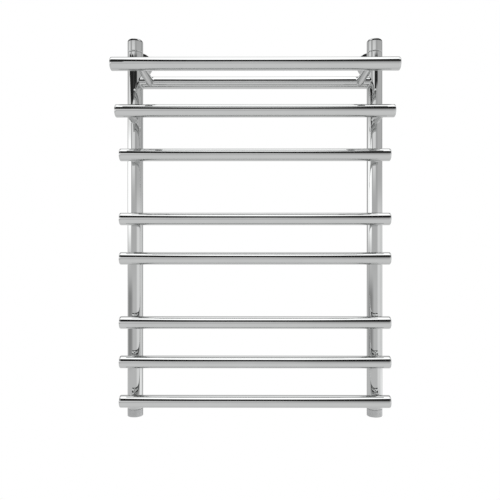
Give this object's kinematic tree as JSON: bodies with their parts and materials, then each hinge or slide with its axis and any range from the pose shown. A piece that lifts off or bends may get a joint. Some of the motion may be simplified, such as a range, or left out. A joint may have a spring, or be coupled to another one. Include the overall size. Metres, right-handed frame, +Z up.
{
  "type": "towel warmer rack",
  "caption": "Wall-mounted ladder towel warmer: two round uprights, horizontal round bars on stand-offs stepping forward to a top shelf, telescopic wall brackets.",
  "frame": {"origin": "on the wall plane, midway between the two wall brackets, on the bracket axis height", "axes": "+Z up, +Y into the wall so the room is on the -Y side, +X to the right seen from the room"},
  "size_m": [0.554, 0.1845, 0.7845],
  "materials": {
    "polished_steel": "mirror polished",
    "turned_steel": "fine turned satin",
    "plated_steel": "zinc plated",
    "nickelled_brass": "nickel plated satin",
    "black_rubber": "matte"
  },
  "bodies": {
    "wall_mounts": {"wall_plate_left": "plated_steel", "wall_plate_right": "plated_steel", "wall_post_left": "turned_steel", "wall_post_right": "turned_steel"},
    "rack": {"stile_left": "polished_steel", "stile_right": "polished_steel", "shelf_front_bar": "polished_steel", "shelf_rear_bar": "polished_steel", "shelf_arm_left": "polished_steel", "shelf_arm_right": "polished_steel", "crossbar_1": "polished_steel", "crossbar_2": "polished_steel", "crossbar_3": "polished_steel", "crossbar_4": "polished_steel", "crossbar_5": "polished_steel", "crossbar_6": "polished_steel", "crossbar_7": "polished_steel", "bar_end_caps_left": "polished_steel", "bar_end_caps_right": "polished_steel", "standoff_long_left": "polished_steel", "standoff_long_right": "polished_steel", "standoffs_left": "polished_steel", "standoffs_right": "polished_steel", "top_bush_left": "turned_steel", "top_bush_right": "turned_steel", "bottom_bush_left": "turned_steel", "bottom_bush_right": "turned_steel", "air_vent_left": "nickelled_brass", "air_vent_right": "nickelled_brass", "vent_seal_left": "black_rubber", "vent_seal_right": "black_rubber", "bracket_pin_left": "polished_steel", "bracket_pin_right": "polished_steel"},
    "rosette_left": {"rosette_left": "polished_steel", "rosette_ring_left": "black_rubber"},
    "top_cap_left": {"top_cap_left": "polished_steel", "cap_ring_left": "black_rubber"},
    "bleed_screw_left": {"bleed_screw_left": "nickelled_brass"},
    "clamp_screw_left": {"clamp_screw_left": "plated_steel"},
    "rosette_right": {"rosette_right": "polished_steel", "rosette_ring_right": "black_rubber"},
    "top_cap_right": {"top_cap_right": "polished_steel", "cap_ring_right": "black_rubber"},
    "bleed_screw_right": {"bleed_screw_right": "nickelled_brass"},
    "clamp_screw_right": {"clamp_screw_right": "plated_steel"}
  },
  "joints": [
    {"name": "wall_distance", "type": "slide", "parent": "wall_mounts", "child": "rack", "axis": [0, -1, 0], "range_m": [-0.006, 0.008]},
    {"name": "rosette_slide_left", "type": "slide", "parent": "wall_mounts", "child": "rosette_left", "axis": [0, -1, 0], "range_m": [0, 0.012]},
    {"name": "cap_lift_left", "type": "slide", "parent": "rack", "child": "top_cap_left", "axis": [0, 0, 1], "range_m": [0, 0.026]},
    {"name": "bleed_turn_left", "type": "hinge", "parent": "rack", "child": "bleed_screw_left", "pos_m": [-0.25, -0.055, 0.0082], "axis": [0, 0, 1], "range_deg": [0, 360]},
    {"name": "clamp_turn_left", "type": "hinge", "parent": "wall_mounts", "child": "clamp_screw_left", "pos_m": [-0.25, -0.025, -0.0108], "axis": [0, 0, -1], "range_deg": [0, 540]},
    {"name": "rosette_slide_right", "type": "slide", "parent": "wall_mounts", "child": "rosette_right", "axis": [0, -1, 0], "range_m": [0, 0.012]},
    {"name": "cap_lift_right", "type": "slide", "parent": "rack", "child": "top_cap_right", "axis": [0, 0, 1], "range_m": [0, 0.026]},
    {"name": "bleed_turn_right", "type": "hinge", "parent": "rack", "child": "bleed_screw_right", "pos_m": [0.25, -0.055, 0.0082], "axis": [0, 0, 1], "range_deg": [0, 360]},
    {"name": "clamp_turn_right", "type": "hinge", "parent": "wall_mounts", "child": "clamp_screw_right", "pos_m": [0.25, -0.025, -0.0108], "axis": [0, 0, -1], "range_deg": [0, 540]}
  ]
}
